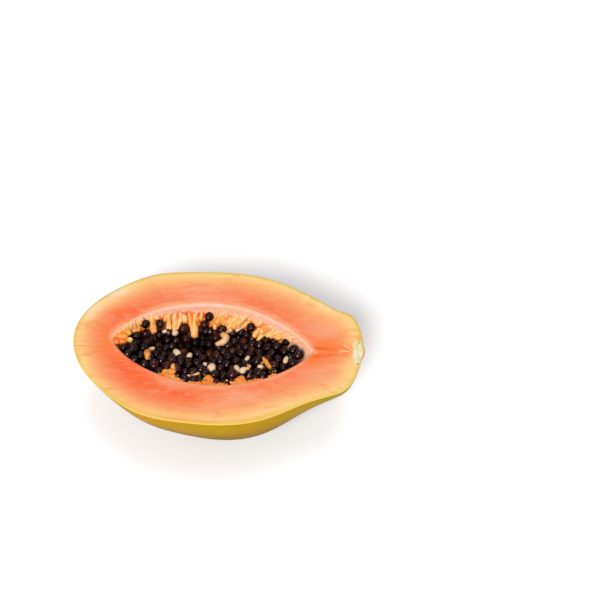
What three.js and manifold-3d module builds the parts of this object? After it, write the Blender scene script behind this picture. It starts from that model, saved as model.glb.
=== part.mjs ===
// Half of a ripe papaya, cut lengthwise and lying on its skin with the cut face up.
//
// Two solids: the flesh with its skin, its hollow and the fringe of strands on the hollow's far wall,
// and the heap of seeds that lies in the hollow.
//
// Millimetres, +Z up. +X runs from the blossom end to the stem end, +Y to the far side, where the
// fringe is. The origin is on the resting surface, under the middle of the fruit.
import * as THREE from 'three';
import Module from 'manifold-3d';

const wasm = await Module();
wasm.setup();

// ---------------------------------------------------------------- driving dimensions

// The whole half.
const HALF_LENGTH = 93;
const HALF_WIDTH = 56.5;
const HALF_DEPTH = 56; // from the fruit's axis down to the underside
const SWELLS = [
  { at: -47, spread: 21, more: 0.05 }, // the full cheek on the blossom side
  { at: 63, spread: 25, more: -0.102 }, // the slim neck on the stem side
  { at: 89, spread: 9.5, more: 0.23 }, // the blunt shoulders round the stalk
];
const BEND = { level: 1.1, blossom: 3.1, stem: 5 }; // sideways drift of the axis, and what each end adds
const SAG = { at: 79, spread: 15, shift: -3.6 }; // the neck's near side is the fuller one
const CUT = { middle: 0.12, lean: 0.14, bow: -0.33, stem: -0.166 }; // the cut over the axis, in half depths
const RIBS = { count: 5, depth: 0.012 }; // shallow ribs round the whole fruit
const FOOT = 1.2; // how much of the round underside is pressed flat where it rests

// The pale cut stub of the stalk, in the middle of the stem end.
const STALK = { x: 88.2, y: 2, length: 5.9, halfWidth: 7.6, depth: 6.6 };

// The seed hollow.
const HOLLOW = { from: -68, to: 60.5, halfWidth: 29.3, depth: 30.5 };
const HOLLOW_TAPER = { blossom: 0.2, stem: 0.33 }; // how sharply each end runs to a point
const HOLLOW_DRIFT = { level: 2.2, slope: -0.029 };

// The seeds. They lie high against the near wall and low against the far one.
const FILL = { near: 0.1, far: 0.56, from: -1, to: 0.35 }; // depth of the heap, as a share of the hollow's
const SEED = { halfLength: 3, halfWidth: 2.5, pitch: 5.5, shake: 1.2, uneven: 1.3 };
const SEED_REACH = 0.94; // share of the hollow's size that the seeds' middles may fill
const SETTLE = { steps: 40, share: 0.35 };
const CORE_DROP = 2; // from the seeds' middles down to the plain core under them
const CLEAR = 0.975; // share of the hollow's size that the heap may fill, which leaves a thin gap
const STUCK_SEEDS = [
  { along: -0.7, down: 22 },
  { along: -0.07, down: 19 },
  { along: 0.36, down: 27 },
]; // seeds that cling to the far wall, above the heap
const STUCK_PROUD = 0.6; // how far their middles stand off the wall, in half widths

// The fringe of strands on the far wall.
const STRANDS = { count: 30, from: -0.86, to: 0.84, radius: 1.35, sides: 5, slant: 0.09 };
const COMB = { slant: -0.09, from: -0.1, to: 0.15 }; // on the stem side the tips lean towards the blossom end
const STRAND_TOP = { down: 13, uneven: 7 }; // where a strand leaves the wall, in degrees below the rim
const STRAND_TIP = { down: 37, uneven: 8, reach: 0.9 };
const STRAND_GIRTHS = [0.75, 0.95, 1.25, 0.8]; // thickness from the top to the tip
const STRAND_POINT = 0.25; // how far the point reaches past the last thickness, in steps of the line
const STRAND_GAP = 0.35; // between a strand and the heap

// Facets.
const SEGMENTS = 48; // round the outline
const SKIN_RINGS = 10;
const HOLLOW_RINGS = 7;
const CORE_RINGS = 4;
const STALK_RINGS = 3;

// ---------------------------------------------------------------- small helpers

const { degToRad, lerp, smoothstep, clamp } = THREE.MathUtils;

// A plain random source, so that every run draws the same numbers.
function randomSource(start) {
  let state = start;
  return () => {
    state = (Math.imul(state, 1664525) + 1013904223) >>> 0;
    return state / 2 ** 32;
  };
}

function solid(numbers, faces) {
  const mesh = new wasm.Mesh({
    numProp: 3,
    vertProperties: new Float32Array(numbers),
    triVerts: new Uint32Array(faces),
  });
  return new wasm.Manifold(mesh);
}

// A closed solid from rings of points, from the lowest ring to the highest. A fan closes each end.
function solidFromRings(start, rings, end) {
  const count = rings[0].length;
  const points = [start, ...rings.flat(), end];
  const last = points.length - 1;
  const at = (ring, i) => 1 + ring * count + (i % count);
  const faces = [];
  for (let i = 0; i < count; i++) {
    faces.push(0, at(0, i + 1), at(0, i));
    for (let ring = 0; ring + 1 < rings.length; ring++) {
      faces.push(at(ring, i), at(ring, i + 1), at(ring + 1, i));
      faces.push(at(ring, i + 1), at(ring + 1, i + 1), at(ring + 1, i));
    }
    faces.push(last, at(rings.length - 1, i), at(rings.length - 1, i + 1));
  }
  return solid(points.flatMap((point) => point.toArray()), faces);
}

// Joining and cutting can leave loose scraps and sealed pockets: scraps are dropped, pockets filled.
function outerBody(body) {
  const shells = body.decompose();
  return shells.reduce((best, shell) => (shell.volume() > best.volume() ? shell : best));
}

// ---------------------------------------------------------------- the unit half ball

// Every form here is a half ball of radius 1, stretched. A ring of it lies at one share of the radius.
const ballDepth = (share) => -Math.sqrt(Math.max(0, 1 - share ** 2));

function unitRing(share) {
  return Array.from({ length: SEGMENTS }, (_, i) => {
    const turn = (2 * Math.PI * i) / SEGMENTS;
    return new THREE.Vector3(share * Math.cos(turn), share * Math.sin(turn), ballDepth(share));
  });
}

// Shares of the rings from the bottom of a half ball (0) up to its rim (1), evenly spaced as angles.
const ringShares = (rings) =>
  Array.from({ length: rings }, (_, i) => Math.sin(((i + 1) / rings) * (Math.PI / 2)));

const UNIT_BOTTOM = new THREE.Vector3(0, 0, -1);

// ---------------------------------------------------------------- the fruit's form

// How much fuller or slimmer than a plain oval the fruit is at a place along its length.
function fullness(x) {
  return SWELLS.reduce((sum, { at, spread, more }) => sum + more * Math.exp(-(((x - at) / spread) ** 2)), 1);
}

// The half ball stretched to the fruit. Where the cut lies above the axis, the skin bulges out below
// the rim, and where it lies below the axis, the skin tucks in at once.
function fruitPoint(unit) {
  const x = HALF_LENGTH * unit.x;
  const turn = Math.atan2(-unit.z, unit.y);
  const rib = 1 - RIBS.depth * Math.sin(RIBS.count * turn);
  const girth = fullness(x) * rib * Math.hypot(unit.y, unit.z);
  const lift = CUT.middle + CUT.lean * unit.x + CUT.bow * unit.x ** 2 + CUT.stem * Math.max(0, unit.x) ** 3;
  const rise = Math.asin(lift);
  const angle = (turn * (Math.PI + 2 * rise)) / Math.PI - rise;
  const sag = SAG.shift * Math.exp(-(((x - SAG.at) / SAG.spread) ** 2));
  const middle = BEND.level + (unit.x < 0 ? BEND.blossom : BEND.stem) * unit.x ** 2 + sag;
  return new THREE.Vector3(
    x,
    middle + (HALF_WIDTH * girth * Math.cos(angle)) / Math.cos(rise),
    -HALF_DEPTH * girth * (Math.sin(angle) + Math.sin(rise)),
  );
}

const FLOOR = fruitPoint(UNIT_BOTTOM).z + FOOT;

function restingPoint(unit) {
  const point = fruitPoint(unit);
  return point.setZ(Math.max(point.z, FLOOR));
}

// The half ball stretched to the hollow, which runs to a point at both ends.
const HOLLOW_MIDDLE = (HOLLOW.from + HOLLOW.to) / 2;
const HOLLOW_HALF_LENGTH = (HOLLOW.to - HOLLOW.from) / 2;

function hollowTaper(along) {
  const power = along < 0 ? HOLLOW_TAPER.blossom : HOLLOW_TAPER.stem;
  return Math.max(0, 1 - along ** 2) ** power;
}

const hollowDrift = (x) => HOLLOW_DRIFT.level + HOLLOW_DRIFT.slope * x;

function hollowPoint(unit) {
  const x = HOLLOW_MIDDLE + HOLLOW_HALF_LENGTH * unit.x;
  const taper = hollowTaper(unit.x);
  const y = hollowDrift(x) + HOLLOW.halfWidth * taper * unit.y;
  return new THREE.Vector3(x, y, HOLLOW.depth * taper * unit.z);
}

// The other way round: where a point of the hollow is in the half ball.
function hollowUnit(point) {
  const along = clamp((point.x - HOLLOW_MIDDLE) / HOLLOW_HALF_LENGTH, -0.999, 0.999);
  const taper = hollowTaper(along);
  const across = (point.y - hollowDrift(point.x)) / (HOLLOW.halfWidth * taper);
  return new THREE.Vector3(along, across, point.z / (HOLLOW.depth * taper));
}

// A place on the far wall of the half ball, or a little inside it where reach is under 1.
function farWall(along, down, reach = 1) {
  const chord = reach * Math.sqrt(1 - along ** 2);
  return new THREE.Vector3(along, chord * Math.cos(degToRad(down)), -chord * Math.sin(degToRad(down)));
}

// ---------------------------------------------------------------- the flesh

function halfFruit() {
  const skin = ringShares(SKIN_RINGS).map((share) => unitRing(share).map(restingPoint));
  const hollow = ringShares(HOLLOW_RINGS)
    .reverse()
    .map((share) => unitRing(share).map(hollowPoint));
  return solidFromRings(restingPoint(UNIT_BOTTOM), [...skin, ...hollow], hollowPoint(UNIT_BOTTOM));
}

function stalkStub() {
  const stretch = new THREE.Vector3(STALK.length, STALK.halfWidth, STALK.depth);
  const centre = new THREE.Vector3(STALK.x, STALK.y, 0);
  const rings = ringShares(STALK_RINGS).map((share) =>
    unitRing(share).map((unit) => unit.multiply(stretch).add(centre)),
  );
  return solidFromRings(UNIT_BOTTOM.clone().multiply(stretch).add(centre), rings, centre);
}

// The line of each strand, from the wall just under the rim down to a tip that stands off the wall.
function strandLines() {
  const random = randomSource(11);
  const uneven = (spread) => spread * (random() - 0.5);
  const steps = STRAND_GIRTHS.length - 1;
  return Array.from({ length: STRANDS.count }, (_, i) => {
    const along = lerp(STRANDS.from, STRANDS.to, (i + random()) / STRANDS.count);
    const slant = uneven(STRANDS.slant) + COMB.slant * smoothstep(along, COMB.from, COMB.to);
    const top = STRAND_TOP.down + uneven(STRAND_TOP.uneven);
    const tip = STRAND_TIP.down + uneven(STRAND_TIP.uneven);
    return STRAND_GIRTHS.map((_, k) => {
      const share = k / steps;
      const reach = lerp(1, STRAND_TIP.reach, share);
      return hollowPoint(farWall(along + slant * share, lerp(top, tip, share), reach));
    });
  });
}

function strandSolid(line, radius) {
  const last = line.length - 1;
  const rings = line.map((centre, i) => {
    const heading = line[Math.min(i + 1, last)].clone().sub(line[Math.max(i - 1, 0)]).normalize();
    const side = new THREE.Vector3(0, 0, 1).cross(heading).normalize();
    const up = heading.clone().cross(side);
    return Array.from({ length: STRANDS.sides }, (_, k) => {
      const turn = (2 * Math.PI * k) / STRANDS.sides;
      const spoke = side.clone().multiplyScalar(Math.cos(turn)).addScaledVector(up, Math.sin(turn));
      return centre.clone().addScaledVector(spoke, radius * STRAND_GIRTHS[i]);
    });
  });
  const tip = line[last].clone().lerp(line[last - 1], -STRAND_POINT);
  return solidFromRings(line[0], rings, tip);
}

// ---------------------------------------------------------------- the seeds

// How high the seeds lie at a place in the hollow's plan, as a depth in the half ball.
function seedLevel(along, across) {
  const chord = Math.sqrt(Math.max(1e-6, 1 - along ** 2));
  const share = smoothstep(across / chord, FILL.from, FILL.to);
  return -chord * lerp(FILL.near, FILL.far, share);
}

// The point of the heap's surface over a place in plan, a little under it for a drop.
function heapPoint(x, y, drop) {
  const unit = hollowUnit(new THREE.Vector3(x, y, 0));
  unit.z = seedLevel(unit.x, unit.y);
  const point = hollowPoint(unit);
  return point.setZ(point.z - drop);
}

// Staggered rows of seeds over the hollow's plan, shaken out of line. The third number of a place is
// how far its seed lies below the heap's surface.
function seedPlaces() {
  const random = randomSource(5);
  const shake = (most) => most * (2 * random() - 1);
  const rowGap = SEED.pitch * Math.sqrt(0.75);
  const rows = Math.ceil(HOLLOW.halfWidth / rowGap);
  const columns = Math.ceil(HOLLOW_HALF_LENGTH / SEED.pitch);
  const places = [];
  for (let row = -rows; row <= rows; row++) {
    for (let column = -columns; column <= columns; column++) {
      const x = HOLLOW_MIDDLE + (column + (row % 2) / 2) * SEED.pitch + shake(SEED.shake);
      const y = HOLLOW_DRIFT.level + row * rowGap + shake(SEED.shake);
      const place = new THREE.Vector3(x, y, shake(SEED.uneven));
      if (hollowUnit(heapPoint(x, y, place.z)).length() < 1) places.push(place);
    }
  }
  settle(places);
  return places.map((place) => heapPoint(...place.toArray()));
}

// Seeds that overlap push each other apart, and the hollow's wall holds them in.
function settle(places) {
  for (let step = 0; step < SETTLE.steps; step++) {
    const moves = places.map(() => new THREE.Vector3());
    places.forEach((place, i) => {
      for (let j = 0; j < i; j++) {
        const gap = place.clone().sub(places[j]);
        const overlap = 2 * SEED.halfWidth - gap.length();
        if (overlap <= 0) continue;
        gap.setZ(0).setLength(SETTLE.share * overlap);
        moves[i].add(gap);
        moves[j].sub(gap);
      }
    });
    places.forEach((place, i) => {
      place.add(moves[i]);
      const unit = hollowUnit(heapPoint(...place.toArray()));
      if (unit.length() < SEED_REACH) return;
      const held = hollowPoint(unit.setLength(SEED_REACH));
      place.set(held.x, held.y, place.z);
    });
  }
}

// A seed is an uneven egg with few faces, turned any way.
function seedSolid(centre, random) {
  const ball = new THREE.IcosahedronGeometry(1, 0);
  const size = 0.9 + 0.2 * random();
  ball.scale(size * SEED.halfLength, size * SEED.halfWidth, size * SEED.halfWidth);
  const [roll, tip, spin] = [random(), random(), random()].map((share) => share * Math.PI);
  ball.applyMatrix4(new THREE.Matrix4().makeRotationFromEuler(new THREE.Euler(roll, tip, spin)));
  ball.translate(...centre.toArray());
  return solidFromGeometry(ball);
}

// The geometry's faces each have corners of their own: corners at one place become one point.
function solidFromGeometry(geometry) {
  const position = geometry.getAttribute('position');
  const known = new Map();
  const numbers = [];
  const faces = Array.from({ length: position.count }, (_, i) => {
    const corner = new THREE.Vector3().fromBufferAttribute(position, i).toArray();
    const key = corner.map((value) => value.toFixed(3)).join();
    if (!known.has(key)) {
      known.set(key, known.size);
      numbers.push(...corner);
    }
    return known.get(key);
  });
  return solid(numbers, faces);
}

// The space that the heap may fill: the hollow, a little smaller, and open upwards.
function heapSpace() {
  const headroom = 2 * SEED.halfLength;
  const walls = ringShares(HOLLOW_RINGS).map((share) =>
    unitRing(share).map((unit) => hollowPoint(unit.multiplyScalar(CLEAR))),
  );
  const above = walls.at(-1).map((point) => point.clone().setZ(headroom));
  const bottom = hollowPoint(UNIT_BOTTOM.clone().multiplyScalar(CLEAR));
  return solidFromRings(bottom, [...walls, above], bottom.clone().setZ(headroom));
}

// Everything below the plain top of the heap's core.
function belowCore() {
  const surface = (unit) => {
    const { x, y } = hollowPoint(unit);
    return heapPoint(x, y, CORE_DROP);
  };
  const tops = ringShares(CORE_RINGS)
    .reverse()
    .map((share) => unitRing(share).map(surface));
  const deep = -2 * HOLLOW.depth;
  const base = tops[0].map((point) => point.clone().setZ(deep));
  const top = surface(UNIT_BOTTOM);
  return solidFromRings(top.clone().setZ(deep), [base, ...tops], top);
}

function seedHeap(lines) {
  const random = randomSource(23);
  const seeds = seedPlaces().map((place) => seedSolid(place, random));
  const gaps = lines.map((line) => strandSolid(line, STRANDS.radius + STRAND_GAP));
  return outerBody(
    wasm.Manifold.union([belowCore(), ...seeds])
      .intersect(heapSpace())
      .subtract(wasm.Manifold.union(gaps)),
  );
}

function fleshBody(lines) {
  const random = randomSource(31);
  const strands = lines.map((line) => strandSolid(line, STRANDS.radius));
  const reach = 1 - (STUCK_PROUD * SEED.halfWidth) / HOLLOW.halfWidth;
  const stuck = STUCK_SEEDS.map(({ along, down }) => {
    const centre = hollowPoint(farWall(along, down, reach));
    return seedSolid(centre, random);
  });
  return outerBody(wasm.Manifold.union([halfFruit(), stalkStub(), ...strands, ...stuck]));
}

// ---------------------------------------------------------------- the object

function namedMesh(name, body, material) {
  const { numProp, vertProperties, triVerts, numVert } = body.getMesh();
  const positions = new Float32Array(numVert * 3);
  for (let i = 0; i < numVert; i++) {
    positions.set(vertProperties.subarray(i * numProp, i * numProp + 3), i * 3);
  }
  const geometry = new THREE.BufferGeometry();
  geometry.setAttribute('position', new THREE.BufferAttribute(positions, 3));
  geometry.setIndex(new THREE.BufferAttribute(triVerts, 1));
  geometry.computeVertexNormals();
  const mesh = new THREE.Mesh(geometry, material);
  mesh.name = name;
  return mesh;
}

const fleshFinish = new THREE.MeshStandardMaterial({ color: 0xf98a55, roughness: 0.45, metalness: 0 });
const seedFinish = new THREE.MeshStandardMaterial({ color: 0x2a1614, roughness: 0.3, metalness: 0 });

const lines = strandLines();
const papaya = new THREE.Group();
papaya.add(namedMesh('papaya_flesh', fleshBody(lines), fleshFinish));
papaya.add(namedMesh('seed_heap', seedHeap(lines), seedFinish));

// The origin goes under the middle of the fruit, on the surface that it rests on.
const box = new THREE.Box3().setFromObject(papaya);
const middle = box.getCenter(new THREE.Vector3());
papaya.position.set(-middle.x, -middle.y, -box.min.z);

export default papaya;
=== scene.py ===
# %% [markdown]
# # Half a papaya
#
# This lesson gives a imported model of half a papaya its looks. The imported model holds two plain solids: the
# flesh and the heap of seeds. Here each one is replaced by fine meshes that keep its form: skin, flesh,
# strands of pulp, glossy seeds, and the small scraps that lie about between them.
#
# Every length is in metres, +X runs from the blossom end to the stem end, +Y to the far side, and +Z up out
# of the cut face.

import math

import bmesh
import bpy
import numpy as np
from mathutils import Matrix, Quaternion, Vector, noise


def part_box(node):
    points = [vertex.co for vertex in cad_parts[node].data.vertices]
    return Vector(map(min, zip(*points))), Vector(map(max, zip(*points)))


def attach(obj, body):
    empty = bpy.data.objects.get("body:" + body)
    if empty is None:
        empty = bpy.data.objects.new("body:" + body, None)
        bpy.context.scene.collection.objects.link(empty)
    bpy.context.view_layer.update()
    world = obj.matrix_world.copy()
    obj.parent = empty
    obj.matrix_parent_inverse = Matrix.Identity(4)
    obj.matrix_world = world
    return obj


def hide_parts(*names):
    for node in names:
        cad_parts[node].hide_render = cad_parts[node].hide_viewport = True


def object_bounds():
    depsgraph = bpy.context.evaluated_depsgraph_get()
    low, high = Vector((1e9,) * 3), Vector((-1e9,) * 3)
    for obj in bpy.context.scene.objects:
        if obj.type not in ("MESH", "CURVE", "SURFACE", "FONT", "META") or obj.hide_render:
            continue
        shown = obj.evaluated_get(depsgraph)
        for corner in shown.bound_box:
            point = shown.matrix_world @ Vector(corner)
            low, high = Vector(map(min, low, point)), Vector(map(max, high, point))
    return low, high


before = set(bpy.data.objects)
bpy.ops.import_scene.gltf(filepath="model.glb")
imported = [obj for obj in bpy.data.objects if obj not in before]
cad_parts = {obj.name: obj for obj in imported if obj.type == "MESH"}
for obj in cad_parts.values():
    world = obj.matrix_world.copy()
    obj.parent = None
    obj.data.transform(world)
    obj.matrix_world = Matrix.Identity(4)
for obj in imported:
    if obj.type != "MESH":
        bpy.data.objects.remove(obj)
packed_box = [list(map(float, corner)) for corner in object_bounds()]
scene = bpy.context.scene
MM = 0.001
print("nodes:", sorted(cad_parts))
print("packed size in mm:", [round((high - low) / MM, 1) for low, high in zip(*packed_box)])

# %% [markdown]
# ## The fruit's form
#
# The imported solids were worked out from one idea: a half ball of radius 1, stretched. The same formulas are
# repeated here, so that the fine meshes lie exactly where the solids are. A modeller could also sculpt the
# fruit by hand, but a formula gives the skin, the hollow and the seeds one shared measure.
#
# numpy works on whole arrays of points at once. The last axis of each array is x, y and z. Two curves are
# used over and over: a bell, to change something near one place, and a smooth step, to pass softly from one
# thing to the next.

# %% Two curves
def bell(*offsets):
    """1 where every offset is 0, and less further out."""
    return np.exp(-sum(offset ** 2 for offset in offsets))


def smooth_step(value, low, high):
    """0 up to low, 1 from high on, and a smooth change between them."""
    share = np.clip((value - low) / (high - low), 0, 1)
    return share * share * (3 - 2 * share)


print("half way up a smooth step:", smooth_step(0.5, 0, 1))

# %% The whole half, in the fruit's own axes
HALF_LENGTH = 93 * MM
HALF_WIDTH = 56.36 * MM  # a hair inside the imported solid
HALF_DEPTH = 56 * MM
# Where it is fuller or slimmer than a plain oval: the middle, the spread and how much.
SWELLS = [(-47 * MM, 21 * MM, 0.05), (63 * MM, 25 * MM, -0.102), (89 * MM, 9.5 * MM, 0.23)]
# Its axis bends to the far side towards both ends, and a little back at the neck.
BEND_LEVEL, BEND_BLOSSOM, BEND_STEM = 1.1 * MM, 3.1 * MM, 5 * MM
SAG_AT, SAG_SPREAD, SAG_SHIFT = 79 * MM, 15 * MM, -3.6 * MM
# How high over that axis the knife cut, as a share of the girth that changes along the fruit.
CUT_MIDDLE, CUT_LEAN, CUT_BOW, CUT_STEM = 0.12, 0.14, -0.33, -0.166
RIBS, RIB_DEPTH = 5, 0.012
FOOT, FOOT_SOFTNESS = 1.2 * MM, 0.2 * MM  # the underside is pressed flat where it rests


def fruit_points(unit):
    """Points of the half ball, stretched to the fruit's skin."""
    along = unit[..., 0]
    x = HALF_LENGTH * along
    full = 1 + sum(more * bell((x - at) / spread) for at, spread, more in SWELLS)
    turn = np.arctan2(-unit[..., 2], unit[..., 1])
    girth = full * (1 - RIB_DEPTH * np.sin(RIBS * turn)) * np.hypot(unit[..., 1], unit[..., 2])
    height = CUT_MIDDLE + CUT_LEAN * along + CUT_BOW * along ** 2 + CUT_STEM * np.clip(along, 0, 1) ** 3
    rise = np.arcsin(height)
    angle = turn * (math.pi + 2 * rise) / math.pi - rise
    middle = BEND_LEVEL + np.where(along < 0, BEND_BLOSSOM, BEND_STEM) * along ** 2
    middle += SAG_SHIFT * bell((x - SAG_AT) / SAG_SPREAD)
    y = middle + HALF_WIDTH * girth * np.cos(angle) / np.cos(rise)
    z = -HALF_DEPTH * girth * (np.sin(angle) + np.sin(rise))
    return np.stack([x, y, z], axis=-1)


FLOOR = fruit_points(np.array([0.0, 0.0, -1.0]))[2] + FOOT
print("height of the cut over the floor in mm:", round(-FLOOR / MM, 2))

# %% The stalk's stub, a small half ball that stands out of the stem end
STALK_AT = np.array([88.2, 2, 0]) * MM
STALK_SIZE = np.array([5.9, 7.6, 6.6]) * MM


def resting_points(unit):
    """The skin with the stalk's stub grown out of it and the flat spot that it rests on."""
    points = fruit_points(unit)
    off_axis = (((points - STALK_AT) / STALK_SIZE)[..., 1:] ** 2).sum(axis=-1)
    stub = STALK_AT[0] + STALK_SIZE[0] * np.sqrt(np.clip(1 - off_axis, 0, None))
    # Between real seeds one sees only shade and dark wet gel. A smooth dark core a little below their tops
    # stands for it, as painted shade. Its edge ends where the heap's surface meets the hollow's wall.
    on_stub = (off_axis < 1) & (points[..., 0] > STALK_AT[0])
    points[..., 0] = np.where(on_stub, np.maximum(points[..., 0], stub), points[..., 0])
    over = (points[..., 2] - FLOOR) / FOOT_SOFTNESS
    points[..., 2] = FLOOR + FOOT_SOFTNESS * np.logaddexp(0, over)
    return points


# %% The hollow that the seeds lie in
HOLLOW_FROM, HOLLOW_TO = -68 * MM, 60.5 * MM
HOLLOW_MIDDLE = (HOLLOW_FROM + HOLLOW_TO) / 2
HOLLOW_HALF_LENGTH = (HOLLOW_TO - HOLLOW_FROM) / 2
HOLLOW_HALF_WIDTH = 29.3 * MM
HOLLOW_DEPTH = 30.5 * MM
TAPER_BLOSSOM, TAPER_STEM = 0.2, 0.33
DRIFT_LEVEL, DRIFT_SLOPE = 2.2 * MM, -0.029  # its axis lies a little beyond the fruit's


def hollow_taper(along):
    """The hollow's share of its full width, which runs out at both ends."""
    power = np.where(along < 0, TAPER_BLOSSOM, TAPER_STEM)
    return np.clip(1 - along ** 2, 0, 1) ** power


def hollow_points(unit):
    """Points of the half ball, stretched to the hollow's wall."""
    x = HOLLOW_MIDDLE + HOLLOW_HALF_LENGTH * unit[..., 0]
    taper = hollow_taper(unit[..., 0])
    y = DRIFT_LEVEL + DRIFT_SLOPE * x + HOLLOW_HALF_WIDTH * taper * unit[..., 1]
    return np.stack([x, y, HOLLOW_DEPTH * taper * unit[..., 2]], axis=-1)


def hollow_unit(points):
    """The other way round: where points of the hollow lie in the half ball."""
    along = np.clip((points[..., 0] - HOLLOW_MIDDLE) / HOLLOW_HALF_LENGTH, -0.999, 0.999)
    taper = hollow_taper(along)
    drift = DRIFT_LEVEL + DRIFT_SLOPE * points[..., 0]
    across = (points[..., 1] - drift) / (HOLLOW_HALF_WIDTH * taper)
    return np.stack([along, across, points[..., 2] / (HOLLOW_DEPTH * taper)], axis=-1)


# %% [markdown]
# The seeds slid down from the near wall, so their surface is high there and low at the far wall. Some fell
# out of the middle and left a dip. One formula for that surface serves the packing of the seeds, the dark
# bed of painted shade under them and the painted shade on the wall below them.

# %% The heap's surface
FILL_NEAR, FILL_FAR = 0.1, 0.56
FILL_FROM, FILL_TO = -1, 0.35
DIP_AT = np.array([-14.5, 9.5, 0]) * MM
DIP_SIZE = np.array([12, 5]) * MM
DIP_DEPTH = 8.0 * MM


def heap_level(points):
    """How high the middles of the top seeds lie under or over each point."""
    unit = hollow_unit(points)
    chord = np.sqrt(np.clip(1 - unit[..., 0] ** 2, 1e-6, 1))
    share = smooth_step(unit[..., 1] / chord, FILL_FROM, FILL_TO)
    depth = chord * (FILL_NEAR + (FILL_FAR - FILL_NEAR) * share)
    off_dip = (points - DIP_AT)[..., :2] / DIP_SIZE
    dip = DIP_DEPTH * bell(off_dip[..., 0], off_dip[..., 1])
    return -depth * HOLLOW_DEPTH * hollow_taper(unit[..., 0]) - dip


print("the heap's surface in the dip, in mm:", round(float(heap_level(DIP_AT)) / MM, 1))

# %% Rings of the half ball, from an angle below its rim
ROUND = 480
turns = np.linspace(0, 2 * math.pi, ROUND, endpoint=False)


def unit_rings(downs):
    """One ring of points for each angle below the rim. An angle may differ round the ring."""
    down = np.asarray(downs, dtype=float)
    down = down[:, None] if down.ndim == 1 else down
    depth = -np.sin(down) * np.ones(ROUND)
    return np.stack([np.cos(down) * np.cos(turns), np.cos(down) * np.sin(turns), depth], axis=-1)


# %% [markdown]
# ## From the fruit's axes to the imported model's
#
# The imported model has its origin on the floor, under the middle of its box. The shift is found, not
# typed in: the rim's own box is centred, and the cut face goes to the height of the imported flesh.

# %% The shift
rim = resting_points(unit_rings([0.0]))[0]
rim_middle = (rim.min(axis=0) + rim.max(axis=0)) / 2
cut_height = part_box("papaya_flesh")[1][2]
shift = np.array([-rim_middle[0], -rim_middle[1], cut_height])
print("shift in mm:", np.round(shift / MM, 3))

# %% [markdown]
# ## A helper that turns arrays into a piece
#
# A mesh in Blender is a list of points and a list of faces that name them. Numbers can be stored on the
# points as attributes, and a material can read them: here they carry, for example, how near a point is to
# the skin.

# %% make_piece
def make_piece(name, points, faces, material, node, values=None):
    mesh = bpy.data.meshes.new(name)
    mesh.from_pydata((np.asarray(points) + shift).tolist(), [], faces)
    mesh.shade_smooth()
    for label, numbers in (values or {}).items():
        attribute = mesh.attributes.new(label, "FLOAT", "POINT")
        attribute.data.foreach_set("value", np.asarray(numbers, dtype=np.float32).ravel())
    mesh.materials.append(material)
    piece = bpy.data.objects.new(name, mesh)
    scene.collection.objects.link(piece)
    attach(piece, "root")
    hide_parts(node)
    print(name, "has", len(points), "points and", len(faces), "faces")


def closed_rings(rings):
    """A closed surface from rings of points, with a fan over each end."""
    count, around = len(rings), rings[0].shape[0]
    points = np.concatenate([rings[0].mean(axis=0)[None], *rings, rings[-1].mean(axis=0)[None]])
    here = 1 + np.arange(count * around).reshape(count, around)
    there = np.roll(here, -1, axis=1)
    quads = np.stack([here[:-1], there[:-1], there[1:], here[1:]], axis=-1).reshape(-1, 4).tolist()
    last = len(points) - 1
    first_fan = [[0, b, a] for a, b in zip(here[0].tolist(), there[0].tolist())]
    last_fan = [[last, a, b] for a, b in zip(here[-1].tolist(), there[-1].tolist())]
    return points, first_fan + quads + last_fan


# %% [markdown]
# ## Materials, built from nodes
#
# Every finish is procedural: noise, ramps and stored values, and no images, so it is sharp at any size.
# The helpers below keep each material short. A value that is the same all over goes straight on the
# shader's own socket.
#
# Colours are named as they should look on the screen, which is how one judges them. What reaches the
# screen is the finish times the light, so `tone` divides by the light of the lamps.

# %% Colours by their look
LAMPLIGHT = 1.57  # how much brighter the lamps make things than the tones below are named


def tone(red, green, blue):
    """The finish that looks like this screen colour, from 0 to 255, under the lamps."""
    shares = [channel / 255 for channel in (red, green, blue)]
    light = [s / 12.92 if s <= 0.04045 else ((s + 0.055) / 1.055) ** 2.4 for s in shares]
    return [value / LAMPLIGHT for value in light] + [1.0]


def in_shade(red, green, blue):
    """The same, brightened as painted light for what lies down in the hollow, where less light falls."""
    plain = tone(red, green, blue)[:3]
    lift = min(1.25, 0.98 / max(plain))
    return [value * lift for value in plain] + [1.0]


print("salmon on the screen, as a finish:", np.round(tone(251, 152, 96)[:3], 3))

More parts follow.
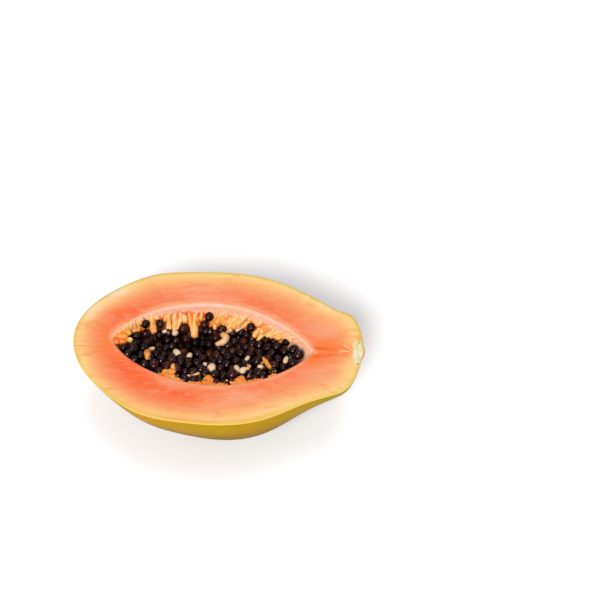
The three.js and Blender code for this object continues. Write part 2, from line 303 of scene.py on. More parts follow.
# %% Helpers for nodes
class Finish:
    """A new material with its shader, and short ways to add nodes to it."""

    def __init__(self, name, **settings):
        self.material = bpy.data.materials.new(name)
        self.material.use_nodes = True
        self.tree = self.material.node_tree
        self.shader = self.tree.nodes["Principled BSDF"]
        for label, value in settings.items():
            self.shader.inputs[label.replace("_", " ")].default_value = value
        self.place = self.add("ShaderNodeTexCoord").outputs["Object"]

    def join(self, socket, value):
        if isinstance(value, bpy.types.NodeSocket):
            self.tree.links.new(value, socket)
        else:
            socket.default_value = value

    def add(self, kind, inputs=None, **settings):
        made = self.tree.nodes.new(kind)
        for label, value in settings.items():
            setattr(made, label, value)
        for key, value in (inputs or {}).items():
            self.join(made.inputs[key], value)
        return made

    def stored(self, label):
        return self.add("ShaderNodeAttribute", attribute_name=label).outputs["Fac"]

    def noise(self, scale, detail=3.0, rough=0.6, bend=0.0, along=None):
        """Noise from about 0 to 1. It is drawn out along the fruit where its scale along is under 1."""
        place = self.place
        if along:
            place = self.add("ShaderNodeMapping", {"Vector": place, "Scale": (along, 1.0, 1.0)}).outputs[0]
        inputs = {"Vector": place, "Scale": scale, "Detail": detail, "Roughness": rough, "Distortion": bend}
        return self.add("ShaderNodeTexNoise", inputs).outputs["Fac"]

    def cells(self, scale):
        return self.add("ShaderNodeTexVoronoi", {"Vector": self.place, "Scale": scale}).outputs["Distance"]

    def maths(self, way, first, second):
        return self.add("ShaderNodeMath", {0: first, 1: second}, operation=way).outputs[0]

    def blend(self, first, first_share, second, second_share):
        """Two values, each times its share, added up."""
        second = self.maths("MULTIPLY", second, second_share)
        return self.maths("ADD", self.maths("MULTIPLY", first, first_share), second)

    def spread(self, value, low, high, to_low=0.0, to_high=1.0):
        """value from low to high, as a smooth step from to_low to to_high."""
        inputs = {"Value": value, "From Min": low, "From Max": high, "To Min": to_low, "To Max": to_high}
        return self.add("ShaderNodeMapRange", inputs, interpolation_type="SMOOTHSTEP").outputs[0]

    def ramp(self, value, stops, look=tone):
        """Colours along a value, where look turns the numbers of each stop into its finish."""
        node = self.add("ShaderNodeValToRGB", {"Fac": value})
        marks = node.color_ramp.elements
        while len(marks) < len(stops):
            marks.new(0.5)
        for mark, (at, numbers) in zip(marks, stops.items()):
            mark.position = at
            mark.color = look(*numbers)
        return node.outputs["Color"]

    def layers(self, colour, *rows):
        """Colours laid over the first, each by a value, or by what is stored under a label, times most."""
        for share, most, top in rows:
            value = self.maths("MULTIPLY", self.stored(share) if isinstance(share, str) else share, most)
            top = tone(*top) if isinstance(top, tuple) else top
            colour = self.add("ShaderNodeMix", {0: value, 6: colour, 7: top}, data_type="RGBA").outputs[2]
        return colour

    def finish(self, colour, relief, patches, smooth, rough):
        """The material. Each row of relief is a height, its reach in metres and its strength."""
        shader, under = self.shader.inputs, {}
        for height, reach, strength in relief:
            inputs = {"Height": height, "Distance": reach, "Strength": strength, **under}
            under = {"Normal": self.add("ShaderNodeBump", inputs).outputs["Normal"]}
        self.join(shader["Normal"], under["Normal"])
        self.join(shader["Base Color"], colour)
        self.join(shader["Roughness"], self.spread(patches, 0.3, 0.7, smooth, rough))
        return self.material


# %% [markdown]
# ## The skin
#
# Papaya skin is thin and waxy. It turns from green to olive gold and amber as the fruit ripens, in soft
# patches that never line up with the form. So the colour comes from broad noise, from the place along the
# fruit, and from the height: the underside, which the sun reaches least, stays the greenest, and lower down
# the skin is also painted darker as painted shade. Fine darker flecks are the fruit's pores. A pale line
# follows the rim, where the knife bared the skin's inner side, and is also a painted highlight along the
# rounded edge. A brownish bruise lies on the near side.

# %% The skin's material
def skin_finish():
    f = Finish("papaya_skin", Specular_IOR_Level=0.02)
    patches = f.noise(26.0, 3.0, 0.55, 0.6)
    colour = f.ramp(f.blend(f.stored("along"), 0.62, patches, 0.55), {
        0.18: (246, 164, 30),
        0.36: (211, 155, 4),
        0.56: (198, 152, 2),
        0.80: (192, 150, 2),
        0.93: (168, 156, 10),
    })
    depth = f.stored("depth")
    green = f.maths("MULTIPLY", f.spread(depth, 0.022, 0.05), f.spread(f.noise(38.0, 2.0, 0.5), 0.36, 0.62))
    pores = f.spread(f.cells(520.0), 0.12, 0.2, 1.0, 0.0)
    fibres = f.noise(900.0, along=0.3)
    bark = f.ramp(fibres, {0.3: (186, 122, 62), 0.5: (226, 170, 100), 0.7: (240, 208, 150)})
    colour = f.layers(
        colour,
        # Painted shade: lower down the skin turns a darker olive brown under the fruit's belly, in part the
        # underside's own colour.
        (f.spread(depth, 0.008, 0.030), 0.85, (126, 96, 4)),
        (green, 0.7, (118, 126, 22)),
        (f.spread(f.noise(44.0, 2.0, 0.6, 0.4), 0.58, 0.75), 0.35, (182, 122, 44)),
        ("bruise", 0.6, (172, 116, 44)),
        (f.spread(f.noise(420.0), 0.42, 0.62), 0.12, (236, 190, 40)),
        (pores, 0.3, (120, 104, 24)),
        # A pale line along the rim: the skin's bared inner side, and a painted highlight along the rounded
        # edge.
        (f.spread(f.stored("rim"), 0.2, 0.9), 1.0, (246, 212, 110)),
        ("stalk", 1.0, bark),
    )
    relief = [
        (f.noise(150.0, 3.0, 0.5), 0.0004, 0.5),
        (f.noise(1500.0, 2.0, 0.5), 0.00008, 0.5),
        (pores, 0.00006, 0.6),
    ]
    return f.finish(colour, relief, patches, 0.36, 0.48)


# %% [markdown]
# The skin is a closed shell: an outer surface, a rounded edge at the cut, and an inner surface moved in by
# the skin's thickness. The inner surface follows the normals, which are found from the ring before and the
# ring after each point.

# %% The skin's shell
SKIN_THICKNESS = 0.8 * MM
RIM_ROLL = 0.8 * MM
SKIN_RINGS = 70
LOWEST_RING = 0.492 * math.pi  # the fan over the end closes what is left


def rolled_edge(before, corner, after, steps):
    """Rings of a rounded edge that leaves before, bends towards corner and ends at after."""
    shares = np.linspace(0, 1, steps)[:, None, None]
    return (1 - shares) ** 2 * before + 2 * shares * (1 - shares) * corner + shares ** 2 * after


def moved_in(rings, distance):
    """The same rings, moved inwards along their normals."""
    around = np.roll(rings, -1, axis=1) - np.roll(rings, 1, axis=1)
    normals = np.cross(np.gradient(rings, axis=0), around)
    normals /= np.linalg.norm(normals, axis=-1, keepdims=True)
    return rings + distance * normals


def towards(start, end, distance):
    """The point that lies a distance from start, on the way to end."""
    way = end - start
    return start + way * distance / np.linalg.norm(way, axis=-1, keepdims=True)


outer = resting_points(unit_rings(np.linspace(LOWEST_RING, RIM_ROLL / HALF_DEPTH, SKIN_RINGS)))
hollow_rim = hollow_points(unit_rings([0.0]))[0]
face_start = towards(rim, hollow_rim, RIM_ROLL)
inner = moved_in(outer, SKIN_THICKNESS)
skin_rings = [*outer, *rolled_edge(outer[-1], rim, face_start, 6)[1:], *inner[::-1]]
print("rings of the skin's shell:", len(skin_rings))

# %% What the skin's material reads
BRUISE_AT = np.array([21, -45, -22]) * MM
BRUISE_SIZE = np.array([11, 20, 7]) * MM


def skin_values(points):
    off_stalk = np.linalg.norm((points - STALK_AT) / STALK_SIZE, axis=1)
    # The pale rim line, partly a painted highlight, reaches further down on the far side, where the edge turns
    # into shade.
    rim_reach = (1.1 + 2.6 * smooth_step(points[:, 1], -10 * MM, 25 * MM)) * MM
    return {
        "along": (points[:, 0] + HALF_LENGTH) / (2 * HALF_LENGTH),
        "depth": -points[:, 2],
        "stalk": np.clip((1.12 - off_stalk) / 0.14, 0, 1) * (points[:, 0] > STALK_AT[0]),
        "rim": np.clip(1 + points[:, 2] / rim_reach, 0, 1),
        "bruise": bell(*((points - BRUISE_AT) / BRUISE_SIZE).T),
    }


points, faces = closed_rings(skin_rings)
make_piece("skin", points, faces, skin_finish(), "papaya_flesh", skin_values(points))

# %% [markdown]
# ## The flesh
#
# The cut face runs from pale yellow under the skin to salmon, and to a deep orange near the hollow. That
# change follows the distance to the skin, so each point of the mesh stores it as a share: 0 at the hollow
# and 1 at the skin. The hollow's edge is rounded, and its pale lining runs a few millimetres down the wall
# before the pulp begins.
#
# The mesh starts at the middle of the underside, inside the skin, and runs in rings up to the rim, over the
# face and down into the hollow. Built as rings, it has no seams and its points follow the form.

# %% Rings of the face and the wall
FACE_RINGS = 36
WALL_RINGS = 60
EDGE_ROLL_FAR = 3.6 * MM
EDGE_ROLL_NEAR = 1.0 * MM


def wall_angle(depth):
    """For each turn, the angle below the rim at which the hollow's wall lies that deep."""
    downs = np.linspace(0, 0.9, 400)
    depths = -hollow_points(unit_rings(downs))[..., 2]
    return np.array([np.interp(depth[i], depths[:, i], downs) for i in range(ROUND)])


edge_roll = EDGE_ROLL_NEAR + (EDGE_ROLL_FAR - EDGE_ROLL_NEAR) * (1 + np.sin(turns)) / 2
face_end = towards(hollow_rim, rim, edge_roll[:, None])
wall_start_down = wall_angle(1.3 * edge_roll)
wall_start = hollow_points(unit_rings(wall_start_down[None]))[0]
face_shares = np.linspace(0, 1, FACE_RINGS)
face = face_start + face_shares[:, None, None] * (face_end - face_start)
edge = rolled_edge(face_end, hollow_rim, wall_start, 8)
wall_shares = np.linspace(0, 1, WALL_RINGS)[:, None] ** 1.2
wall_unit = unit_rings(wall_start_down + wall_shares * (0.49 * math.pi - wall_start_down))
wall = hollow_points(wall_unit)
print("face, edge and wall rings:", len(face), len(edge), len(wall))

# %% [markdown]
# Where the lining ends, the wall is soft pulp. On the far side it is lumpy, and towards the stem end its
# lumps are combed over like the strands in front of it. Between the single strands of the middle a deeper
# orange shows. Next to the seeds the wall is darkened as painted shade, which hides where they touch it.

# %% Lumps of pulp on the wall, and the faint waves that a knife leaves on the face
def noise_at(points, scales, offset=0.0):
    """Smooth noise from about -1 to 1, with a wavelength for each axis."""
    scaled = (points / np.asarray(scales)).reshape(-1, 3) + offset
    values = [noise.noise(Vector(point)) for point in scaled.tolist()]
    return np.array(values).reshape(points.shape[:-1])


# How deep in millimetres the lining reaches down, on the far side and the near one, at places along the wall.
FAR_LINING = [-1, -0.8, -0.6, -0.25, 0.5, 0.75, 1], [0.3, 0.5, 3.5, 6.0, 5.0, 9.0, 15.0]
NEAR_LINING = [-1, -0.6, 0.4, 0.65, 1], [0.3, 1.5, 1.5, 10.0, 15.0]
along = np.cos(turns)
far_side = smooth_step(np.sin(turns), -0.05, 0.2)
far_border, near_border = (np.interp(along, *places) * MM for places in (FAR_LINING, NEAR_LINING))
border = near_border + (far_border - near_border) * far_side
border = border + 1.6 * MM * noise_at(wall, (5 * MM,) * 3, 3.0)
pulp_fade = (3.5 - 2.5 * bell((along + 0.28) / 0.2)) * MM
pulp = smooth_step(-wall[..., 2] - border, -0.6 * MM, pulp_fade)
# Painted shade: the wall is darkened where it runs below the heap's surface, between and under the seeds.
seed_shade = smooth_step(heap_level(wall) + 0.5 * MM - wall[..., 2], 0, 2.5 * MM)
seed_shade *= smooth_step(wall[..., 0], -64 * MM, -60 * MM) * (1 - smooth_step(wall[..., 0], 40 * MM, 48 * MM))
combed = wall.copy()
combed[..., 0] += 0.75 * wall[..., 2] * smooth_step(wall[..., 0], -15 * MM, 5 * MM)
ridges = noise_at(combed, (2.4 * MM, 9 * MM, 9 * MM))
ridges = ridges + 0.6 * noise_at(wall, (1.6 * MM, 3 * MM, 3 * MM), 7.0)
lumps = 0.05 * pulp * far_side * (0.5 + ridges)
wall = hollow_points(wall_unit * (1 - np.clip(lumps, 0, None))[..., None])
face_fade = np.sin(math.pi * face_shares)[:, None] ** 0.5
face[..., 2] += 0.16 * MM * face_fade * noise_at(face, (30 * MM, 8 * MM, 1.0))

flesh_rings = [*inner, face_start, *face[1:], *edge[1:], *wall[1:]]
print("flesh rings:", len(flesh_rings))

# %% [markdown]
# What the flesh's material reads is worked out here, where the numbers are at hand. No cut fruit is even:
# it has patches that are riper, glow more or are paler than the rest, two thin seams from the hollow's tip
# to the stalk, the pale scar of the stalk with a fan of fibres before it, and pale spots of painted sheen
# here and there along the rim. Painting them by hand would do as well, but as formulas they stay editable.

# %% Places on the face
SCAR_AT = (89.8 * MM, 0.8 * MM)
SCAR_SIZE = (3.5 * MM, 8.3 * MM)
SEAM_UP = np.array([(56, 4.0), (60, 3.2), (80, 1.6)]) * MM
SEAM_LOW = np.array([(50, -8.2), (53, -6.3), (56, -4.7), (60.5, -3.4), (80, -0.8)]) * MM
# Patches of the face, each with its middle, its half length and its half width.
DEEP_PLACES = np.array([(-57, 21, 13, 8), (-57, -15, 13, 9), (-46, -28, 16, 10), (-22, -36, 15, 6)]) * MM
GLOW_PLACES = np.array([(68, 4, 15, 6), (61, -6, 9, 4), (84, 1, 8, 5), (-68.5, 0, 6, 8)]) * MM
PALE_PLACES = np.array([(-12, 40, 20, 8), (16, -36, 12, 7), (71, 17, 17, 8), (70, -17, 17, 8)]) * MM
# Pale spots of painted sheen along the rim, where the wet face shines.
PAINTED_SHEEN = np.array([
    (64.5, 35.4, 2.0, 2.0), (69.5, 32.8, 1.8, 1.8), (56, 41, 1.3, 1.3), (-68, 38, 8, 8), (-83, 24, 7, 7),
]) * MM
OLIVE = np.array([(90, 11.3, 1.6, 2.4)]) * MM
print("patches on the face:", len(DEEP_PLACES) + len(GLOW_PLACES) + len(PALE_PLACES))


def patches_at(x, y, places):
    """1 in the middle of the patches, and less further out."""
    found = sum(bell((x - at_x) / long, (y - at_y) / wide) for at_x, at_y, long, wide in places)
    return np.clip(found, 0, 1)


# %% What the flesh's material reads
def wall_only(numbers, like):
    """The numbers of the wall's rings, and 0 on all others."""
    found = np.zeros_like(like)
    found[-(WALL_RINGS - 1):] = numbers[1:]
    return found


def flesh_values(rings):
    stacked = np.array(rings)
    x, y = stacked[..., 0], stacked[..., 1]
    shares = np.zeros((len(rings), ROUND))
    shares[:SKIN_RINGS + 1] = 1
    shares[SKIN_RINGS:SKIN_RINGS + FACE_RINGS] = (1 - face_shares * 0.98)[:, None]
    on_face = shares > 0
    off_scar = np.hypot((x - SCAR_AT[0]) / SCAR_SIZE[0], (y - SCAR_AT[1]) / SCAR_SIZE[1])
    off_scar += 0.16 * noise_at(stacked, (2.5 * MM, 2.5 * MM, 3 * MM))
    seam = sum(bell((y - np.interp(x, *line.T)) / (1.3 * MM)) for line in (SEAM_UP, SEAM_LOW))
    seam *= smooth_step(x, 50 * MM, 58 * MM) * (1 - smooth_step(x, 68 * MM, 82 * MM)) * on_face
    lining_tip = smooth_step((64.5 * MM - x) * 0.28 - abs(y + 0.3 * MM), -0.2 * MM, 0.5 * MM)
    near_rim = smooth_step(shares, 0.86, 0.97) * smooth_step(y, -25 * MM, -38 * MM)
    near_rim *= smooth_step(x, 60 * MM, 30 * MM)
    riper = smooth_step(y, -12 * MM, -28 * MM) * smooth_step(x, 12 * MM, -25 * MM)
    heading = np.arctan2(y - SCAR_AT[1], SCAR_AT[0] - x)
    reach = np.hypot(x - SCAR_AT[0], y - SCAR_AT[1])
    rays = noise_at(np.stack([heading * 5, reach / (9 * MM), 0 * reach], axis=-1), (1, 1, 1))
    fan = smooth_step(rays, 0.05, 0.4) * on_face
    fan *= smooth_step(reach, 3 * MM, 5 * MM) * (1 - smooth_step(reach, 7 * MM, 15 * MM))
    faded = patches_at(x, y, PALE_PLACES) * smooth_step(shares, 0.02, 0.1)
    values = {
        "toward_skin": shares ** (1 + 0.8 * riper),
        "wall_depth": np.where(on_face, 0, -stacked[..., 2]),
        "pulp": wall_only(pulp, shares),
        "seed_shade": wall_only(seed_shade, shares),
        "scar": smooth_step(off_scar, 1.2, 0.8),
        "seam": np.clip(seam, 0, 1),
        "glow": patches_at(x, y, GLOW_PLACES) * on_face * smooth_step(shares, 1.0, 0.6),
        "lining_tip": lining_tip * on_face * (x > 50 * MM),
        "ripe": patches_at(x, y, DEEP_PLACES) * smooth_step(shares, 0.85, 0.3),
        "faded": faded * smooth_step(shares, 0.75, 0.4),
        "yellow_rim": np.clip(0.6 * near_rim + patches_at(x, y, OLIVE) * (shares > 0.9), 0, 1),
        "fan": fan,
        "painted_sheen": patches_at(x, y, PAINTED_SHEEN) * smooth_step(shares, 0.6, 0.9),
    }
    # The mesh has one more point at each end, in the middle of the first ring and of the last one.
    return {label: np.concatenate([[n[0].mean()], n.ravel(), [n[-1].mean()]]) for label, n in values.items()}


# %% The flesh's material
FLESH_GLOW = (1.0, 0.45, 0.2)  # red light goes deepest into the flesh


def flesh_finish():
    f = Finish(
        "papaya_flesh", Specular_IOR_Level=0.2,
        Subsurface_Weight=0.12, Subsurface_Scale=0.002, Subsurface_Radius=FLESH_GLOW,
    )
    drift = f.maths("SUBTRACT", f.noise(40.0, 3.0, 0.55), 0.5)
    colour = f.ramp(f.blend(f.stored("toward_skin"), 1.0, drift, 0.16), {
        0.02: (250, 158, 112),
        0.10: (250, 128, 74),
        0.30: (251, 136, 84),
        0.48: (251, 152, 96),
        0.62: (251, 172, 108),
        0.76: (253, 193, 120),
        0.90: (253, 211, 136),
        0.98: (247, 208, 112),
    })
    streaks = f.noise(150.0, 4.0, 0.62, 1.2, along=0.28)
    threads = f.noise(520.0, bend=0.8, along=0.3)
    seam_colour = f.ramp(threads, {0.38: (236, 84, 8), 0.6: (252, 116, 22)})
    colour = f.layers(
        colour,
        ("ripe", 0.8, (252, 98, 40)),
        ("faded", 0.7, (252, 170, 130)),
        ("yellow_rim", 1.0, (240, 184, 56)),
        (f.spread(streaks, 0.5, 0.72), 0.25, (255, 190, 150)),
        (f.spread(streaks, 0.5, 0.3), 0.35, (246, 104, 52)),
        (f.spread(threads, 0.48, 0.72), 0.18, (255, 206, 160)),
        ("glow", 0.75, (252, 126, 34)),
        ("seam", 0.8, seam_colour),
        ("lining_tip", 0.8, (254, 198, 150)),
        ("fan", 0.7, (255, 222, 172)),
        # Painted sheen of the wet face.
        ("painted_sheen", 0.7, (252, 228, 188)),
    )
    # The wall's colours go through in_shade, so they are brightened as painted light against the hollow's
    # shade.
    lining = f.ramp(f.noise(200.0), {
        0.35: (252, 184, 142),
        0.50: (252, 188, 156),
        0.65: (253, 195, 173),
    }, in_shade)
    pulp_colour = f.ramp(f.noise(330.0), {
        0.36: (228, 92, 26),
        0.50: (242, 124, 44),
        0.62: (252, 156, 74),
        0.74: (252, 180, 108),
    }, in_shade)
    # The last layer is the painted shade under the seeds.
    wall_colour = f.layers(lining, ("pulp", 1.0, pulp_colour), ("seed_shade", 0.92, (70, 24, 8)))
    fibres = f.noise(420.0, 2.0, 0.5)
    scar = f.ramp(fibres, {0.34: (222, 214, 140), 0.5: (238, 230, 176), 0.66: (252, 236, 210)})
    on_wall = f.spread(f.stored("wall_depth"), 0.0001, 0.0012)
    colour = f.layers(colour, (on_wall, 1.0, wall_colour), ("scar", 1.0, scar))
    grooves = f.noise(180.0, bend=0.4, along=0.5)
    relief = [(grooves, 0.0004, 0.4), (f.noise(1400.0, 2.0), 0.00012, 0.4)]
    return f.finish(colour, relief, streaks, 0.42, 0.55)


points, faces = closed_rings(flesh_rings)
reads = flesh_values(flesh_rings)
print("stored for the flesh:", ", ".join(reads))
make_piece("flesh", points, faces, flesh_finish(), "papaya_flesh", reads)

# %% [markdown]
# ## The fringe of strands
#
# Each seed hangs on a strand of pulp. Where the seeds have fallen out, the strands stay on the far wall as
# a ragged fringe. Curves with a bevel would do, but a tube from arrays can swell and thin as it likes, and
# all strands together stay one mesh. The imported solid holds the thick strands: the same random source and
# the same formulas put them in the same places. Finer ones fill the room between them.
#
# A few seeds still cling to that wall. Their places come first, because a strand ends where it meets one.

# %% Lines down the far wall, and the seeds that cling to it
STRANDS = 30
STRAND_FROM, STRAND_TO = -0.86, 0.84
STRAND_SLANT = 0.09
TOP_DOWN, TOP_UNEVEN = 13, 7
TIP_DOWN, TIP_UNEVEN = 37, 8
TIP_REACH = 0.9
COMBED_SLANT = -0.09


def far_wall(along, down, reach=1.0):
    """A place on the far wall of the half ball, or inside it where reach is under 1."""
    chord = reach * np.sqrt(1 - along ** 2)
    return np.stack([along, chord * np.cos(down), -chord * np.sin(down)], axis=-1)


def strand_line(along, slant, top, tip, reach, steps=12):
    """A line down the far wall, from top to tip in degrees below the rim."""
    shares = np.linspace(0, 1, steps)
    downs = np.radians(top + (tip - top) * shares)
    return hollow_points(far_wall(along + slant * shares, downs, 1 + (reach - 1) * shares))


def comb(along):
    """How far the strands' tips lie towards the blossom end, as they are combed over near the stem."""
    return COMBED_SLANT * smooth_step(along, -0.1, 0.15)


# Each clinging seed: where along the wall, how far down in degrees and how far out. The solid has the
# first three.
CLINGING = [
    (-0.70, 22, 0.90), (-0.07, 19, 0.93), (0.36, 27, 0.90),
    (-0.56, 26, 0.86), (-0.33, 37, 0.88), (-0.12, 31, 0.90), (0.06, 37, 0.88),
]
CLINGING_ROOM = 2.5 * MM
clinging_at = np.array([
    hollow_points(far_wall(np.array(along), np.radians(down), reach)) for along, down, reach in CLINGING
])


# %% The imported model's thick strands, from its own random source
def random_source(state):
    while True:
        state = (state * 1664525 + 1013904223) % 2 ** 32
        yield state / 2 ** 32


def thick_strand(i, packed):
    along = STRAND_FROM + (STRAND_TO - STRAND_FROM) * (i + next(packed)) / STRANDS
    slant = STRAND_SLANT * (next(packed) - 0.5) + comb(along)
    top = TOP_DOWN + TOP_UNEVEN * (next(packed) - 0.5)
    return strand_line(along, slant, top, TIP_DOWN + TIP_UNEVEN * (next(packed) - 0.5), TIP_REACH)


# %% A tube along a line, and a collector of small meshes
TUBE_SIDES = 10


def tube(line, girths):
    """A closed tube with round ends. It has a girth for each point of the line."""
    heading = np.gradient(line, axis=0)
    heading /= np.linalg.norm(heading, axis=1, keepdims=True)
    across = np.cross(np.array([0.0, 0.0, 1.0]), heading)
    across /= np.linalg.norm(across, axis=1, keepdims=True) + 1e-9
    over = np.cross(heading, across)
    spokes = np.linspace(0, 2 * math.pi, TUBE_SIDES, endpoint=False)[None, :, None]
    ring = across[:, None] * np.cos(spokes) + over[:, None] * np.sin(spokes)
    return closed_rings(list(line[:, None] + np.asarray(girths)[:, None, None] * ring))


def kept_below(points, top):
    """The points, moved down if need be, so that none is higher than top."""
    return points - [0, 0, max(0.0, points[:, 2].max() - top)]


def lumpy(points, amount, size, offset=0.0):
    """The points, pushed about by smooth noise."""
    push = [noise_at(points, (size, size, size), offset + 11.0 * axis) for axis in range(3)]
    return points + amount * np.stack(push, axis=-1)


class Heap:
    """Collects small meshes, to be joined as one piece."""

    def __init__(self):
        self.points, self.faces, self.tints, self.count = [], [], [], 0

    def add(self, points, faces, tint):
        self.points.append(points)
        self.faces += [[corner + self.count for corner in face] for face in faces]
        self.tints.append(np.full(len(points), tint))
        self.count += len(points)

    def piece(self, name, material, node, slot, **found):
        """The joined piece. Each extra value is found from its points by a function."""
        points = np.concatenate(self.points)
        values = {"tint": np.concatenate(self.tints)}
        values.update({label: find(points) for label, find in found.items()})
        print(name, "joins", len(self.points), "small meshes")
        make_piece(name, points, self.faces, material, node, values)


# %% [markdown]
# The fringe hangs straight down on the blossom side, as single pillars with deep orange gaps. Towards the
# stem its strands are combed over, with their tips towards the blossom end, and merge into one mass. At the
# blossom tip they start right at the hollow's edge and end in a lump of wet gel.

# %% Thick strands, and finer ones between them
SHORTEST = 4  # points on a line that is still worth a tube
STRAND_TOP = -0.4 * MM  # no strand stands up over the cut face
draw = np.random.default_rng(7)
strands = Heap()


def fringe_top(along):
    """How far below the rim, in degrees, the fringe starts."""
    places = [-0.95, -0.8, -0.65, -0.48, -0.26, 0, 0.3, 0.5, 0.75, 0.88]
    return np.interp(along, places, [1, 2, 5, 10, 14, 10, 9, 11, 20, 27])


def add_strand(line, half_width, blunt, tint):
    """A strand that swells towards its tip where blunt is near 1. It ends where it meets a clinging seed."""
    off_seeds = np.linalg.norm(line[:, None] - clinging_at, axis=-1).min(axis=1)
    free = off_seeds > CLINGING_ROOM + 0.6 * half_width
    line = line[:len(line) if free.all() else int(np.argmin(free))]
    if len(line) < SHORTEST:
        return
    shares = np.linspace(0, 1, len(line))
    girths = half_width * (0.62 + 0.38 * np.sin(math.pi * shares) + blunt * smooth_step(shares, 0.3, 0.85))
    girths[0] *= 0.4
    girths[-1] *= 0.6
    points, faces = tube(line, girths)
    strands.add(kept_below(lumpy(points, 0.5 * half_width, 2.2 * MM), STRAND_TOP), faces, tint)


packed = random_source(11)
for i in range(STRANDS):
    add_strand(thick_strand(i, packed), 1.2 * MM, draw.uniform(0, 0.35), draw.uniform(0.3, 0.9))

# Strands with a place of their own: where they start along the wall, their slant, how far down they start
# and end in degrees, how far their tips stand off the wall, their half width and how blunt they end.
MAIN_STRANDS = [
    (-0.475, 0.00, 12, 47, 0.88, 1.8, 0.2),
    (-0.415, 0.00, 13, 44, 0.88, 1.7, 0.2),
    (-0.330, 0.02, 15, 28, 0.92, 1.7, 0.2),
    (-0.220, 0.00, 16, 52, 0.86, 1.9, 0.9),
    (-0.090, 0.01, 24, 36, 0.90, 2.0, 0.4),
    (-0.010, 0.00, 14, 38, 0.90, 1.4, 0.2),
    (0.060, -0.04, 12, 32, 0.90, 1.5, 0.2),
    (0.130, -0.07, 11, 33, 0.90, 1.5, 0.3),
    (0.230, -0.12, 12, 37, 0.88, 1.5, 0.2),
    (0.310, -0.09, 10, 32, 0.90, 1.6, 0.2),
    (0.370, -0.11, 15, 49, 0.84, 1.5, 0.3),
    (0.480, -0.09, 18, 42, 0.85, 1.5, 0.3),
    (0.550, -0.12, 20, 47, 0.85, 1.4, 0.3),
    (0.620, -0.10, 15, 40, 0.87, 1.5, 0.2),
    (0.670, -0.08, 17, 39, 0.88, 1.3, 0.2),
    (0.760, -0.07, 20, 36, 0.90, 1.2, 0.2),
]
for along, slant, top, tip, reach, half_width, blunt in MAIN_STRANDS:
    add_strand(strand_line(along, slant, top, tip, reach, 14), half_width * MM, blunt, draw.uniform(0.4, 0.8))

MASS_STRANDS = 18  # they merge towards the stem
for i in range(MASS_STRANDS):
    along = 0.02 + 0.82 * (i + draw.uniform()) / MASS_STRANDS
    slant = comb(along) + draw.uniform(-0.04, 0.01)
    top = fringe_top(along) + draw.uniform(-1, 8)
    line = strand_line(along, slant, top, top + draw.uniform(12, 24), draw.uniform(0.88, 0.95))
    add_strand(line, draw.uniform(1.5, 2.3) * MM, draw.uniform(0, 0.3), draw.uniform(0.0, 0.9))

BLOSSOM_STRANDS = 30  # they crowd the blossom tip
for i in range(BLOSSOM_STRANDS):
    along = -0.96 + 0.42 * (i + draw.uniform()) / BLOSSOM_STRANDS
    top = fringe_top(along) + draw.uniform(0, 5)
    tip = top + draw.uniform(20, 42)
    line = strand_line(along, draw.uniform(-0.03, 0.03), top, tip, draw.uniform(0.82, 0.92))
    add_strand(line, draw.uniform(1.4, 2.2) * MM, draw.uniform(0, 0.3), draw.uniform(0.0, 0.8))

FINE_STRANDS = 40  # they hang under the lining
FREE_FROM, FREE_TO = -0.5, -0.1  # but not here, where single strands stand free
for i in range(FINE_STRANDS):
    along = -0.9 + 1.79 * (i + draw.uniform()) / FINE_STRANDS
    top = fringe_top(along) + draw.uniform(-2, 4)
    tip = top + draw.uniform(6, 10)
    slant = 0.7 * comb(along) + draw.uniform(-0.03, 0.03)
    line = strand_line(along, slant, top, tip, draw.uniform(0.95, 0.99), 10)
    if not FREE_FROM < along < FREE_TO:
        add_strand(line, draw.uniform(0.5, 1.0) * MM, 0.1, draw.uniform(0.0, 1.0))


# %% A finish for small things, and the strands' own
# Their colour follows fine noise and, by a share, the tint that each small mesh has, so no two look alike.
def small_finish(
    name, scale, stops, tint_share, relief, smooth, rough, look=tone, top=None, pits=None, **settings,
):
    """Relief and pits: the scale of a noise or of cells, how far it goes in metres, and its strength."""
    f = Finish(name, **settings)
    grain = f.noise(scale)
    colour = f.ramp(f.blend(f.stored("tint"), tint_share, grain, 1 - tint_share), stops, look)
    if top:
        colour = f.layers(colour, top)
    heights = [(f.noise(relief[0]), *relief[1:])]
    if pits:
        heights.append((f.cells(pits[0]), *pits[1:]))
    return f.finish(colour, heights, grain, smooth, rough)


PULP = dict(
    scale=300.0, tint_share=0.5, relief=(900.0, 0.0002, 0.5), smooth=0.3, rough=0.45, Specular_IOR_Level=0.4,
    Subsurface_Weight=0.2, Subsurface_Scale=0.0015, Subsurface_Radius=FLESH_GLOW,
)


def near_lining(points):
    """1 where a strand leaves the lining, and 0 a few millimetres further down."""
    unit = hollow_unit(points)
    down = np.degrees(np.arctan2(-unit[:, 2], unit[:, 1]))
    return 1 - smooth_step(down - fringe_top(unit[:, 0]), 1, 9)


# The strands' colours go through in_shade, so they are brightened as painted light against the hollow's shade.
strand_stops = {0.2: (250, 124, 36), 0.4: (252, 164, 78), 0.58: (253, 182, 105), 0.8: (253, 198, 134)}
strand_top = ("lining", 0.85, in_shade(252, 188, 144))
strand_material = small_finish("pulp_strands", stops=strand_stops, look=in_shade, top=strand_top, **PULP)
strands.piece("pulp_strands", strand_material, "papaya_flesh", "strands", lining=near_lining)

